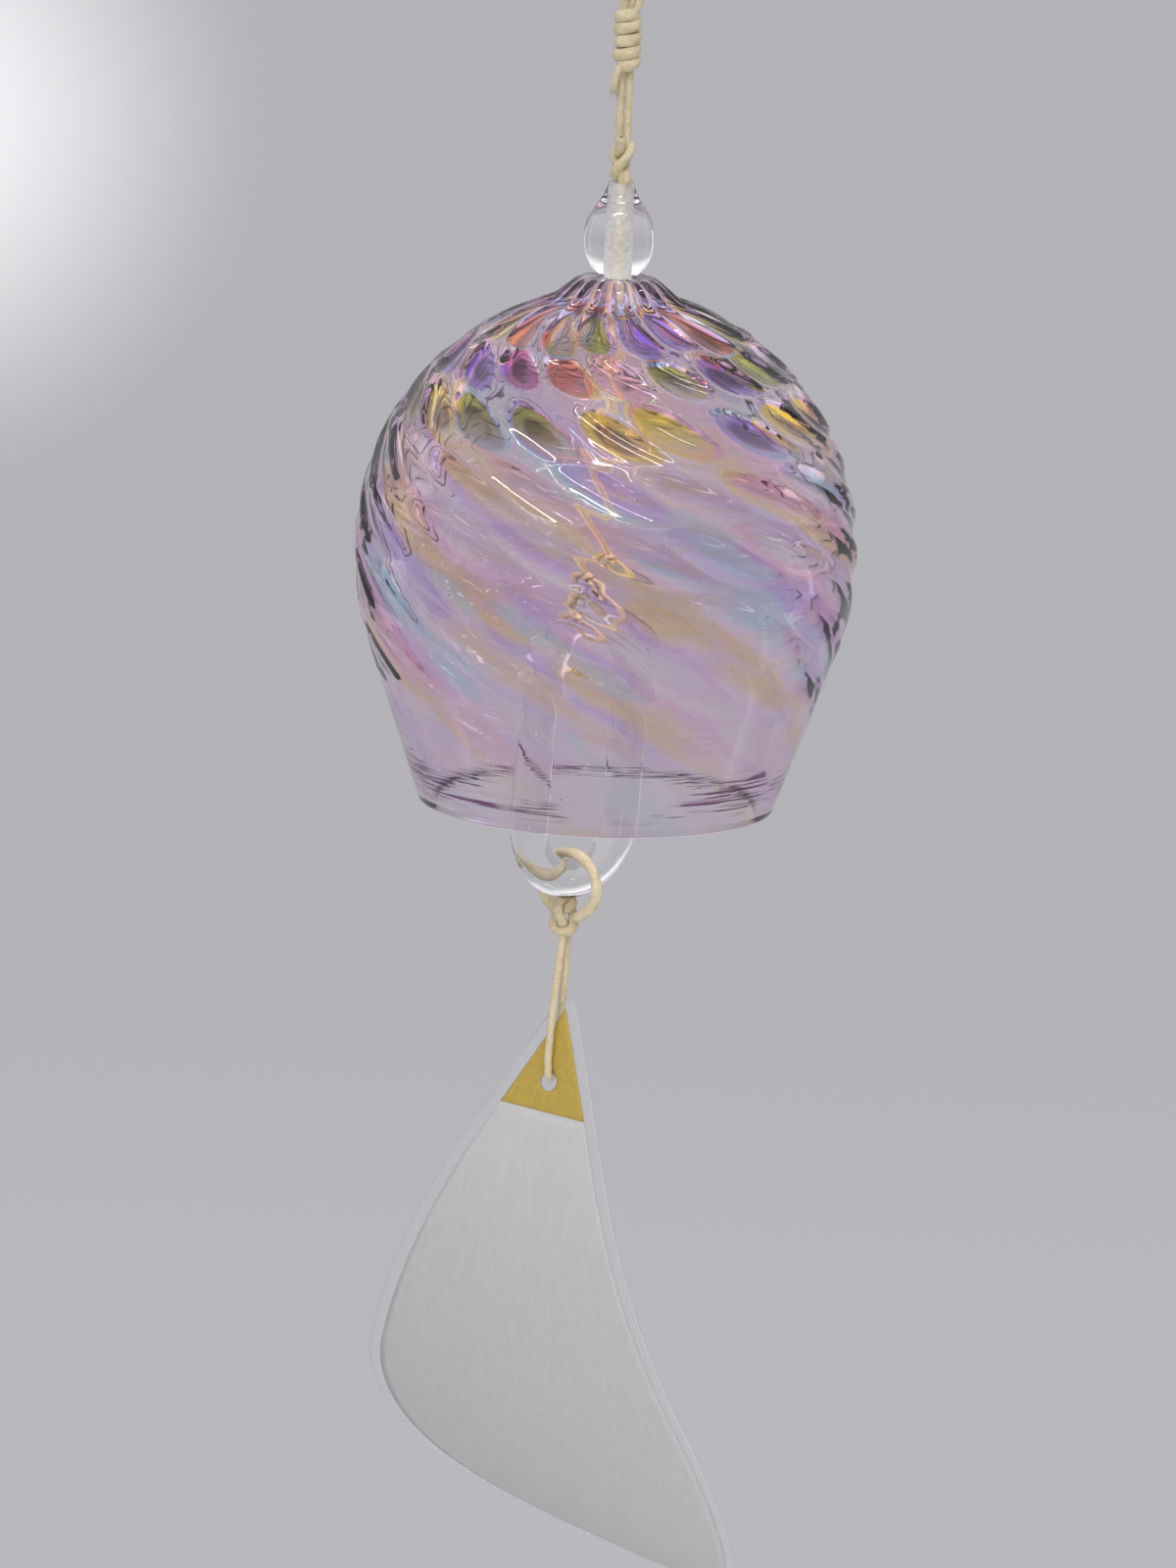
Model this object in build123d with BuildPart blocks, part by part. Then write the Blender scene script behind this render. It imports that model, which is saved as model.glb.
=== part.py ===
from build123d import *
from math import acos, cos, degrees, pi, radians, sin, sqrt, tan
import os

# Glass wind bell on a doubled cord, in millimetres. Z points up, the photographed side faces -Y,
# and the origin is the inside top of the cord eye, where the hook bears.

# Cord and clearances
cord_d = 1.3
wrap_d = 1.6
pair_gap = 0.02
body_gap = 0.3
pivot_gap = 0.5

# Heights along the hanging line, measured down from the eye and up or down from the bell's seat
hang_drop = 73.0
barrel_rise = 33.6
ring_drop = 53.0

# Cord eye
eye_half_w = 6.0
eye_side = 8.0
eye_leg = 7.0
eye_bend = 12.0
eye_top_share = 0.985

# Barrel knot: turns of cord round a squeezed core
barrel_turns = 4
barrel_pitch = 2.05
barrel_r = 1.55
tail_reach = 2.6
tail_len = 2.6

# Tied knots: height, widest radius and end radius
knot_h = 6.0
knot_r = 2.15
knot_end_r = 1.4
stop_h = 5.0
stop_r = 3.4
stop_end_r = 2.7
loop_knot_h = 4.6
loop_knot_r = 2.0
knot_turn_tilt = 28.0
knot_turn_sink_share = 0.35

# Glass bead above the bell, from its seat up
bead_h = 15.4
bead_bore_r = 1.5
bead_top_r = 2.05
bead_neck_r = 2.85
bead_shoulder_r = 4.5
bead_max_r = 5.65
bead_foot_r = 4.3
bead_seat_r = 3.0
bead_height_shares = [0.85, 0.695, 0.396, 0.094]

# Bell
bell_max_r = 40.2
bell_h = 86.0
crown_arc_r = 42.5
skirt_arc_r = 50.0
skirt_taper = 19.3
bell_wall = 2.6
rim_round = 1.1
collar_r = 9.4
collar_flat_r = 6.6
collar_h = 3.54
collar_round = 1.6
bell_hole_r = 2.1

# Optic-mould lenses pressed into the bell
lens_count = 18
lens_depth = 0.9
lens_pitch_share = 0.45
lens_r_limit = 4.7
lens_top_angle = 62.0
lens_row_step = 13.5
lens_row_turns = [0.0, 13.2, 30.0, 52.0, 76.6, 102.0, 128.0]

# Clapper link
clapper_yaw = 45.0
clapper_lean = 2.3
ring_w = 27.0
ring_h = 49.0
ring_d = 6.4
loop_r = 5.2
tail_loop_half_w = 6.2
loop_open = 22.0

# Wind catcher: a laminated drop-shaped sheet
sheet_yaw = -32.9
sheet_roll = 15.4
drop_skew = -7.3
tail_lean_x = -14.7
tail_lean_y = 3.7
strand_drop = 24.0
leg_half_gap = 1.3
leg_top = 2.5
leg_spread_drop = 10.0
leg_bend = 3.0
drop_r = 34.6
drop_half_angle = 25.9
film_margin = 2.0
film_tip_r = 2.4
gold_h = 17.0
hole_from_tip = 12.0
hole_r = 1.6
paper_t = 0.3
film_t = 0.12
film_gap = 0.05
sheet_flat = 24.0
curl_upper_r = 59.2
curl_upper_len = 50.4
curl_lower_turn = 31.0
sheet_side_room = 4.0
curl_samples = 12

# Derived places
seat_z = -hang_drop
strand_x = cord_d / 2 + pair_gap / 2
barrel_low = seat_z + barrel_rise
barrel_high = barrel_low + wrap_d + barrel_turns * barrel_pitch
core_low = barrel_low - wrap_d / 8
core_high = barrel_high + wrap_d / 8
bead_top = seat_z + bead_h
knot_low = bead_top + pivot_gap
knot_high = knot_low + knot_h
crown_x = bell_max_r - crown_arc_r
skirt_x = bell_max_r - skirt_arc_r
crown_rise = sqrt(crown_arc_r**2 - (collar_r - crown_x) ** 2)
collar_z = seat_z - collar_h
widest_z = collar_z - crown_rise
rim_z = seat_z - bell_h
ceiling_z = widest_z + sqrt((crown_arc_r - bell_wall) ** 2 - crown_x**2)
stop_edge = sqrt((crown_arc_r - bell_wall) ** 2 - (stop_end_r - crown_x) ** 2)
stop_high = widest_z + stop_edge - body_gap
stop_low = stop_high - stop_h
ring_top_z = seat_z - ring_drop
ring_axis_r = (ring_w - ring_d) / 2
limb_high_z = ring_top_z - ring_d / 2
limb_low_z = ring_top_z - ring_h + ring_d / 2
loop_reach = ring_d / 2 + body_gap + cord_d / 2
upper_loop_z = limb_high_z - loop_reach + loop_r
lower_loop_z = limb_low_z + loop_reach - loop_r
clapper_knot_z = upper_loop_z + loop_r
tail_knot_z = lower_loop_z - loop_r
tail_z = tail_knot_z - loop_knot_h / 2
inner_top = stop_low - pivot_gap
inner_low = clapper_knot_z + loop_knot_h / 2

os.makedirs("parts", exist_ok=True)


def save(part, name):
    part.label = name
    export_step(part, f"parts/{name}.step")


def tied_knot(mid_z, height, wide_r, end_r):
    """A rounded knot with one slanting turn of its cord standing out."""
    with BuildPart() as knot:
        with BuildSketch(Plane.XZ):
            with BuildLine():
                upper = (end_r, mid_z + height / 2)
                lower = (end_r, mid_z - height / 2)
                ThreePointArc(upper, (wide_r, mid_z), lower)
                Polyline(lower, (0, mid_z - height / 2), (0, mid_z + height / 2), upper)
            make_face()
        revolve(axis=Axis.Z)
        with Locations(Location((0, 0, mid_z), (0, knot_turn_tilt, 0))):
            Torus(wide_r - cord_d * knot_turn_sink_share, cord_d / 2)
    return knot.part


def strand(x, y, high, low):
    """A taut straight run of cord."""
    with BuildPart() as run:
        with BuildSketch(Plane.XY.offset(low)):
            with Locations((x, y)):
                Circle(cord_d / 2)
        extrude(amount=high - low)
    return run.part


# Cord eye: up from the barrel knot, round the hook and back
with BuildPart() as eye:
    with BuildLine(Plane.XZ) as eye_line:
        crown_z = cord_d / 2
        FilletPolyline(
            (-strand_x, core_high),
            (-strand_x, core_high + eye_leg),
            (-eye_half_w, crown_z - eye_side),
            (-eye_half_w, crown_z),
            (eye_half_w, crown_z),
            (eye_half_w, crown_z - eye_side),
            (strand_x, core_high + eye_leg),
            (strand_x, core_high),
            radius=[
                eye_bend,
                eye_bend,
                eye_half_w * eye_top_share,
                eye_half_w * eye_top_share,
                eye_bend,
                eye_bend,
            ],
        )
    with BuildSketch(Plane(origin=(-strand_x, 0, core_high), z_dir=(0, 0, 1))):
        Circle(cord_d / 2)
    sweep()
save(eye.part, "hanging_eye")
print("eye bends", eye_bend, eye_half_w * eye_top_share)

# Barrel knot: core and one unbroken winding with its two cut tails
with BuildPart() as barrel_core:
    with BuildSketch(Plane.XY.offset(core_low)):
        Circle(barrel_r - wrap_d / 2 - pair_gap)
    extrude(amount=core_high - core_low)
save(barrel_core.part, "barrel_core")

winding_z = barrel_low + wrap_d / 2
winding_turn = 2 * pi * barrel_r
winding_len = sqrt(winding_turn**2 + barrel_pitch**2)


def winding_point(quarter):
    angle = radians(270 + 90 * quarter)
    rise = barrel_pitch * quarter / 4
    return Vector(barrel_r * cos(angle), barrel_r * sin(angle), winding_z + rise)


def winding_heading(quarter):
    angle = radians(270 + 90 * quarter)
    level = winding_turn / winding_len
    return Vector(-level * sin(angle), level * cos(angle), barrel_pitch / winding_len)


quarters = barrel_turns * 4
up = Vector(0, 0, 1)
with BuildPart() as barrel_wraps:
    with BuildLine() as wrap_line:
        low_turn = winding_point(0) - (winding_heading(0) + up) * tail_reach
        Line(low_turn - up * tail_len, low_turn)
        TangentArc(low_turn, winding_point(0), tangent=up)
        for quarter in range(quarters):
            start = winding_point(quarter)
            end = winding_point(quarter + 1)
            head = winding_heading(quarter)
            tail = winding_heading(quarter + 1)
            across = end - start
            both = head + tail
            bend = 2 * (1 - head.dot(tail))
            along = across.dot(both)
            reach = (sqrt(along**2 + bend * across.dot(across)) - along) / bend
            middle = (start + head * reach + end - tail * reach) / 2
            turned = (end - tail * reach - start - head * reach).normalized()
            TangentArc(start, middle, tangent=head)
            TangentArc(middle, end, tangent=turned)
        high_turn = winding_point(quarters) + (winding_heading(quarters) + up) * tail_reach
        TangentArc(winding_point(quarters), high_turn, tangent=winding_heading(quarters))
        Line(high_turn, high_turn + up * tail_len)
    with BuildSketch(Plane(origin=wrap_line.line @ 0, z_dir=(0, 0, 1))):
        Circle(wrap_d / 2)
    sweep()
save(barrel_wraps.part, "barrel_wraps")
steps = 24 * barrel_turns
places = [winding_point(4 * step / 24) for step in range(steps + 1)]
least = min(
    (places[a] - places[b]).length
    for a in range(steps + 1)
    for b in range(a + 13, steps + 1)
)
print("barrel winding least gap to itself", round(least - wrap_d, 3))

# Doubled cord and the knot that sits on the bead
save(strand(-strand_x, 0, core_low - pivot_gap, knot_high), "upper_strand_left")
save(strand(strand_x, 0, core_low - pivot_gap, knot_high), "upper_strand_right")
save(tied_knot((knot_low + knot_high) / 2, knot_h, knot_r, knot_end_r), "upper_knot")

# Glass bead
with BuildPart() as bead:
    with BuildSketch(Plane.XZ):
        with BuildLine():
            bead_radii = [bead_neck_r, bead_shoulder_r, bead_max_r, bead_foot_r]
            side = [(bead_top_r, bead_top)]
            for radius, share in zip(bead_radii, bead_height_shares):
                side.append((radius, seat_z + bead_h * share))
            side.append((bead_seat_r, seat_z))
            Spline(*side)
            Polyline(side[-1], (bead_bore_r, seat_z), (bead_bore_r, bead_top), side[0])
        make_face()
    revolve(axis=Axis.Z)
save(bead.part, "bead")

# Cord through the bead and the bell, and the knot that carries the bell
save(strand(0, -strand_x, bead_top, stop_high), "bore_strand_front")
save(strand(0, strand_x, bead_top, stop_high), "bore_strand_back")
save(tied_knot((stop_high + stop_low) / 2, stop_h, stop_r, stop_end_r), "stop_knot")


def bell_marks(inset):
    """Arc radii and turning points of the bell's side, set in from the outside."""
    crown = crown_arc_r - inset
    skirt = skirt_arc_r - inset
    turn = radians(skirt_taper)
    foot = (skirt_x + skirt * cos(turn), widest_z - skirt * sin(turn))
    rim = (foot[0] - (foot[1] - rim_z) * tan(turn), rim_z)
    return crown, skirt, foot, rim


# Bell: blown dome with a collar, a fire-polished rim and rows of pressed lenses
with BuildPart() as bell:
    with BuildSketch(Plane.XZ):
        with BuildLine():
            crown, skirt, foot, rim = bell_marks(0)
            collar_angle = degrees(acos((collar_r - crown_x) / crown))
            CenterArc((crown_x, widest_z), crown, 0, collar_angle)
            CenterArc((skirt_x, widest_z), skirt, 0, -skirt_taper)
            crown_in, skirt_in, foot_in, rim_in = bell_marks(bell_wall)
            Polyline(foot, rim, rim_in, foot_in)
            CenterArc((skirt_x, widest_z), skirt_in, 0, -skirt_taper)
            ceiling_angle = degrees(acos((bell_hole_r - crown_x) / crown_in))
            ceiling = CenterArc((crown_x, widest_z), crown_in, 0, ceiling_angle)
            hole_top = (bell_hole_r, seat_z)
            FilletPolyline(
                ceiling @ 1,
                hole_top,
                (collar_flat_r, seat_z),
                (collar_r, collar_z),
                radius=[pair_gap, collar_round],
            )
        make_face()
    revolve(axis=Axis.Z)
    fillet(bell.edges().group_by(Axis.Z)[0], rim_round)
    lenses = []
    for row, row_turn in enumerate(lens_row_turns):
        angle = lens_top_angle - lens_row_step * row
        arc_x = crown_x if angle > 0 else skirt_x
        arc_r = crown_arc_r if angle > 0 else skirt_arc_r
        reach = cos(radians(angle))
        rise = sin(radians(angle))
        lens_r = min((arc_x + arc_r * reach) * pi * 2 / lens_count * lens_pitch_share, lens_r_limit)
        ball_r = (lens_r**2 + lens_depth**2) / (2 * lens_depth)
        out = arc_r + ball_r - lens_depth
        middle = Vector(arc_x + out * reach, 0, widest_z + out * rise)
        for lens in range(lens_count):
            turned = middle.rotate(Axis.Z, row_turn + lens * 360 / lens_count)
            lenses.append(Pos(*turned) * Sphere(ball_r, mode=Mode.PRIVATE))
    add(lenses, mode=Mode.SUBTRACT)
save(bell.part, "bell")

# Clapper: cord below the stop knot, its knot and loop, and the glass link
clapper_pivot = Pos(0, 0, stop_low - pivot_gap / 2)
clapper_turn = clapper_pivot * Rot(0, clapper_lean, 0) * clapper_pivot.inverse() * Rot(0, 0, clapper_yaw)
save(clapper_turn * strand(-strand_x, 0, inner_top, inner_low), "inner_strand_left")
save(clapper_turn * strand(strand_x, 0, inner_top, inner_low), "inner_strand_right")
clapper_knot = tied_knot(clapper_knot_z, loop_knot_h, loop_knot_r, knot_end_r)
save(clapper_turn * clapper_knot, "clapper_knot")


def link_loop(mid_z, half_w, first_angle):
    """The open loop of cord round the link, ending inside its knot."""
    with BuildPart() as loop:
        with BuildLine(Plane.YZ) as round_line:
            EllipticalCenterArc(
                (0, mid_z),
                half_w,
                loop_r,
                first_angle + loop_open,
                arc_size=360 - 2 * loop_open,
            )
        with BuildSketch(Plane(origin=round_line.line @ 0, z_dir=round_line.line % 0)):
            Circle(cord_d / 2)
        sweep()
    return loop.part


save(clapper_turn * link_loop(upper_loop_z, loop_r, 90), "clapper_loop")
with BuildPart() as link:
    with BuildSketch(Plane.XY.offset(limb_low_z + ring_axis_r)):
        with Locations((-ring_axis_r, 0), (ring_axis_r, 0)):
            Circle(ring_d / 2)
    extrude(amount=limb_high_z - limb_low_z - 2 * ring_axis_r)
    with BuildSketch(Plane.XY.offset(limb_high_z - ring_axis_r)):
        with Locations((ring_axis_r, 0)):
            Circle(ring_d / 2)
    revolve(axis=Axis((0, 0, limb_high_z - ring_axis_r), (0, -1, 0)), revolution_arc=180)
    with BuildSketch(Plane.XY.offset(limb_low_z + ring_axis_r)):
        with Locations((ring_axis_r, 0)):
            Circle(ring_d / 2)
    revolve(axis=Axis((0, 0, limb_low_z + ring_axis_r), (0, 1, 0)), revolution_arc=180)
save(clapper_turn * link.part, "clapper_link")

# Tail: loop and knot under the link
save(clapper_turn * link_loop(lower_loop_z, tail_loop_half_w, 270), "tail_loop")
tail_knot = tied_knot(tail_knot_z, loop_knot_h, loop_knot_r, knot_end_r)
save(clapper_turn * tail_knot, "tail_knot")

# Doubled cord through the hole of the wind catcher, one leg in front and one behind
tail_top = Pos((clapper_turn * Pos(0, 0, tail_z)).position)
tail_place = tail_top * Rot(tail_lean_x, tail_lean_y, 0) * Rot(0, 0, sheet_yaw)
bight_r = leg_half_gap * eye_top_share
with BuildPart() as tail_strand:
    with BuildLine(Plane.YZ) as tail_line:
        FilletPolyline(
            (-strand_x, -pivot_gap),
            (-strand_x, -leg_top),
            (-leg_half_gap, -leg_spread_drop),
            (-leg_half_gap, -strand_drop),
            (leg_half_gap, -strand_drop),
            (leg_half_gap, -leg_spread_drop),
            (strand_x, -leg_top),
            (strand_x, -pivot_gap),
            radius=[leg_bend, leg_bend, bight_r, bight_r, leg_bend, leg_bend],
        )
    with BuildSketch(Plane(origin=tail_line.line @ 0, z_dir=(0, 0, -1))):
        Circle(cord_d / 2)
    sweep()
save(tail_place * tail_strand.part, "tail_strand")
print("tail strand bends", leg_bend, bight_r)

# Wind catcher, drawn hanging from its tip with its front to -Y and its curl going back
half_turn = radians(drop_half_angle)
drop_mid = drop_r / sin(half_turn)
drop_len = drop_mid + drop_r
pivot_from_tip = hole_from_tip - hole_r + body_gap + cord_d / 2
skew = radians(drop_skew)
lowest_run = pivot_from_tip + (drop_mid - pivot_from_tip) * cos(skew) + drop_r + film_margin
upper_turn = curl_upper_len / curl_upper_r
lower_turn = radians(curl_lower_turn)
cutter_turn = (upper_turn + lower_turn) / 2
curl_lower_r = (lowest_run - sheet_flat - curl_upper_len) / lower_turn
sheet_place = (
    tail_place * Pos(0, 0, -strand_drop) * Rot(0, sheet_roll, 0) * Pos(0, 0, pivot_from_tip)
)


def hang(run):
    """Height on the cutter's face of a point that lies run along the curled sheet."""
    first = min(max(run - sheet_flat, 0), curl_upper_len) / curl_upper_r
    whole = first + max(run - sheet_flat - curl_upper_len, 0) / curl_lower_r
    fall = min(run, sheet_flat) + curl_upper_r * sin(first)
    fall += curl_lower_r * (sin(whole) - sin(first))
    back = curl_upper_r * (1 - cos(first)) + curl_lower_r * (cos(first) - cos(whole))
    return -fall * cos(cutter_turn) - back * sin(cutter_turn)


def sheet_layer(back, front):
    """A curled strip between two distances in front of the sheet's middle."""
    side = drop_r + film_margin + sheet_side_room + drop_len * abs(sin(skew))
    with BuildPart() as strip:
        with BuildSketch(Plane.YZ):
            with BuildLine():
                ends = []
                for depth in (back, front):
                    flat = Line((-depth, sheet_side_room), (-depth, -sheet_flat))
                    above = JernArc(
                        flat @ 1, flat % 1, curl_upper_r + depth, degrees(upper_turn)
                    )
                    below = JernArc(
                        above @ 1, above % 1, curl_lower_r + depth, degrees(lower_turn)
                    )
                    ends.append((flat @ 0, below @ 1))
                Line(ends[0][0], ends[1][0])
                Line(ends[0][1], ends[1][1])
            make_face()
        extrude(amount=side, both=True)
    return strip.part


def drop_half(run, margin):
    """Half width of the drop, grown by a margin, at a run from its tip."""
    round_r = drop_r + margin
    if run < drop_mid - round_r * sin(half_turn):
        return run * tan(half_turn) + margin / cos(half_turn)
    return sqrt(max(round_r**2 - (run - drop_mid) ** 2, 0))


def drop_turned(run, side):
    """Where a point of the drop lies after its turn, in its plane, round the cord's bight."""
    below = run - pivot_from_tip
    turned_run = pivot_from_tip + below * cos(skew) + side * sin(skew)
    return side * cos(skew) - below * sin(skew), turned_run


def curl_start(sign, margin):
    """Run along one straight edge of the drop where the sheet begins to curl."""
    grown = sign * margin / cos(half_turn)
    flat_run = sheet_flat - pivot_from_tip * (1 - cos(skew)) - grown * sin(skew)
    return flat_run / (cos(skew) + sign * tan(half_turn) * sin(skew))


def drop_cutter(margin):
    """A prism square to the middle of the curl, with the drop's outline as it looks from there."""
    tip = -margin / sin(half_turn)
    foot_run = drop_len + margin
    facing = (0, -cos(cutter_turn), -sin(cutter_turn))
    with BuildPart() as prism:
        with BuildSketch(Plane(origin=(0, 0, 0), x_dir=(1, 0, 0), z_dir=facing)) as outline:
            with BuildLine():
                edge = []
                for sample in range(2 * curl_samples + 1):
                    share = pi * (sample / curl_samples - 1)
                    sign = 1 if share < 0 else -1
                    run = foot_run - (foot_run - curl_start(sign, margin)) * (1 - cos(share / 2))
                    across, turned_run = drop_turned(run, sign * drop_half(run, margin))
                    edge.append((across, hang(turned_run)))
                Spline(*edge)
                tip_side, tip_run = drop_turned(tip, 0)
                Polyline(edge[-1], (tip_side, hang(tip_run)), edge[0])
            make_face()
            if margin > 0:
                fillet(outline.vertices().group_by(Axis.Y)[-1], film_tip_r)
        extrude(amount=2 * (curl_upper_r + curl_lower_r), both=True)
    return prism.part


with BuildPart() as hole_cutter:
    with BuildSketch(Plane.XZ):
        hole_side, hole_run = drop_turned(hole_from_tip, 0)
        with Locations((hole_side, -hole_run)):
            Circle(hole_r)
    extrude(amount=sheet_side_room, both=True)
with BuildPart() as gold_cutter:
    with BuildSketch(Plane.XZ):
        gold_side, gold_run = drop_turned((gold_h - sheet_side_room) / 2, 0)
        with Locations((gold_side, -gold_run)):
            Rectangle(2 * drop_r, gold_h + sheet_side_room, rotation=-drop_skew)
    extrude(amount=sheet_side_room, both=True)

half_paper = paper_t / 2
paper_sheet = (sheet_layer(-half_paper, half_paper) & drop_cutter(0)) - hole_cutter.part
gold_tip = paper_sheet & gold_cutter.part
paper = paper_sheet - gold_cutter.part
film_back = sheet_layer(-half_paper - film_t, half_paper) & drop_cutter(film_margin)
film_back = film_back - hole_cutter.part
film_back = film_back - (sheet_layer(-half_paper, half_paper) & drop_cutter(0))
front_film_at = half_paper + film_gap
film_front = sheet_layer(front_film_at, front_film_at + film_t) & drop_cutter(film_margin)
film_front = film_front - hole_cutter.part
save(sheet_place * gold_tip, "gold_tip")
save(sheet_place * paper, "paper_drop")
save(sheet_place * film_back, "film_back")
save(sheet_place * film_front, "film_front")

tail_axis = (tail_place * Pos(0, 0, -strand_drop)).position - tail_place.position
print("tail axis", tail_axis.normalized())
print("sheet pivot", (tail_place * Pos(0, 0, -strand_drop)).position)
print("sheet normal", Plane(sheet_place).y_dir)
print("clapper axes", Plane(clapper_turn).x_dir, Plane(clapper_turn).y_dir)
for level in (limb_high_z, limb_low_z, tail_z):
    print("link pivot", level, (clapper_turn * Pos(0, 0, level)).position)
print("levels", core_low - pivot_gap / 2, bead_top + pivot_gap / 2, stop_low - pivot_gap / 2)
print("seat and rim", seat_z, rim_z, "rim radius", rim[0])
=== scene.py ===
"""Looks of the glass wind bell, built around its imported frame. Sizes are in millimetres."""
import math

import bpy
import numpy as np
from mathutils import Matrix, Vector


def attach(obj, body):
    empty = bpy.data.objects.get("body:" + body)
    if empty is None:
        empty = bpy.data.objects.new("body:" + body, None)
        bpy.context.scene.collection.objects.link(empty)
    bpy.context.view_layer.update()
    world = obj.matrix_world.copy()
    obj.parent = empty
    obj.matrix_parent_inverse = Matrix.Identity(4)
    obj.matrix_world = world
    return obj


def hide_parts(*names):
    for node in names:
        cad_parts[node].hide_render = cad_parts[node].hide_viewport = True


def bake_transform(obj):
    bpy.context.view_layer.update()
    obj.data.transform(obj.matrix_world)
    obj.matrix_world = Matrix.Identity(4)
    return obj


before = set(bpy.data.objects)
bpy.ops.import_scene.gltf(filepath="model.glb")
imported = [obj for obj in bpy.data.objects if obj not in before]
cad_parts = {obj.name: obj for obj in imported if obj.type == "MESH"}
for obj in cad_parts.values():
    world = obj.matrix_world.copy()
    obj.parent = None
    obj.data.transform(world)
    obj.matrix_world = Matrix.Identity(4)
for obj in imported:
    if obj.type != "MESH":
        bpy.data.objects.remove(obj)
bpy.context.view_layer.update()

MM = 0.001
TAU = 2 * math.pi
rng = np.random.default_rng(11)

# Levels and sizes that the solids have
CORD_R = 0.65
STRAND_X = 0.66
CORE_HIGH = -29.4
EYE_LEG = 7.0
EYE_HALF = 6.0
EYE_TOP = 0.65
EYE_SIDE = 8.0
BARREL_LOW = -39.4
BARREL_PITCH = 2.05
BARREL_R = 1.55
BARREL_TURNS = 4
WRAP_R = 0.8
KNOT_MID = -54.1
BEAD_TOP = -57.6
SEAT = -73.0
STOP_MID = -80.6
STOP_HIGH = -78.1
STOP_LOW = -83.1
INNER_LOW = -121.5
CLAPPER_KNOT = -122.95
UPPER_LOOP = -128.15
LIMB_HIGH = -129.2
LIMB_LOW = -171.8
LOWER_LOOP = -172.85
TAIL_KNOT = -178.05
TAIL_TOP = -180.35
LINK_AXIS_R = 10.3
LINK_R = 3.2
LOOP_R = 5.2
LINK_YAW = 45.0
CLAPPER_PIVOT = -83.36
CLAPPER_LEAN = math.radians(2.3)
TAIL_LOOP_HALF = 6.2


# Mesh helpers

def new_object(name, verts, faces, uv, materials, slots=None):
    """A smooth mesh object from points in millimetres and corner UVs."""
    mesh = bpy.data.meshes.new(name)
    mesh.from_pydata((np.asarray(verts) * MM).tolist(), [], [list(map(int, f)) for f in faces])
    if uv is not None:
        layer = mesh.uv_layers.new(name="UVMap")
        layer.data.foreach_set("uv", np.asarray(uv, np.float32).ravel())
    for mat in materials:
        mesh.materials.append(mat)
    if slots is not None:
        mesh.polygons.foreach_set("material_index", np.asarray(slots, np.int32))
    mesh.polygons.foreach_set("use_smooth", np.ones(len(mesh.polygons), bool))
    mesh.update()
    made = bpy.data.objects.new(name, mesh)
    bpy.context.scene.collection.objects.link(made)
    return made


def grid(rows, cols, wrap, first=0):
    """Quads of a grid of points and the row and column of each corner, unwrapped."""
    r, c = np.meshgrid(np.arange(rows - 1), np.arange(cols if wrap else cols - 1), indexing="ij")
    r = r.ravel()
    c = c.ravel()
    corner_r = np.stack([r, r + 1, r + 1, r], 1)
    corner_c = np.stack([c, c, c + 1, c + 1], 1)
    faces = first + corner_r * cols + corner_c % cols
    return faces, corner_r, corner_c


def nurbs(points, detail=24):
    """Points along the smooth cord line that has these control points."""
    data = bpy.data.curves.new("route", "CURVE")
    data.dimensions = "3D"
    spline = data.splines.new("NURBS")
    spline.points.add(len(points) - 1)
    for point, place in zip(spline.points, points):
        point.co = (*place, 1.0)
    spline.order_u = 3
    spline.use_endpoint_u = True
    spline.resolution_u = detail
    holder = bpy.data.objects.new("route", data)
    mesh = bpy.data.meshes.new_from_object(holder)
    line = np.array([v.co for v in mesh.vertices])
    bpy.data.meshes.remove(mesh)
    bpy.data.objects.remove(holder)
    bpy.data.curves.remove(data)
    return line


def spaced(line, step):
    """The same line with points an even step apart."""
    run = np.concatenate([[0], np.cumsum(np.linalg.norm(np.diff(line, axis=0), axis=1))])
    at = np.linspace(0, run[-1], max(int(round(run[-1] / step)), 2) + 1)
    return np.stack([np.interp(at, run, line[:, i]) for i in range(3)], 1)


def unit(v):
    return v / np.linalg.norm(v, axis=-1, keepdims=True)


def leaned(points):
    """Points of the clapper and its cord after the slight lean about the stop knot."""
    p = np.asarray(points, float)
    z = p[..., 2] - CLAPPER_PIVOT
    x = p[..., 0] * math.cos(CLAPPER_LEAN) + z * math.sin(CLAPPER_LEAN)
    z = z * math.cos(CLAPPER_LEAN) - p[..., 0] * math.sin(CLAPPER_LEAN)
    return np.stack([x, p[..., 1], z + CLAPPER_PIVOT], -1)


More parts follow.
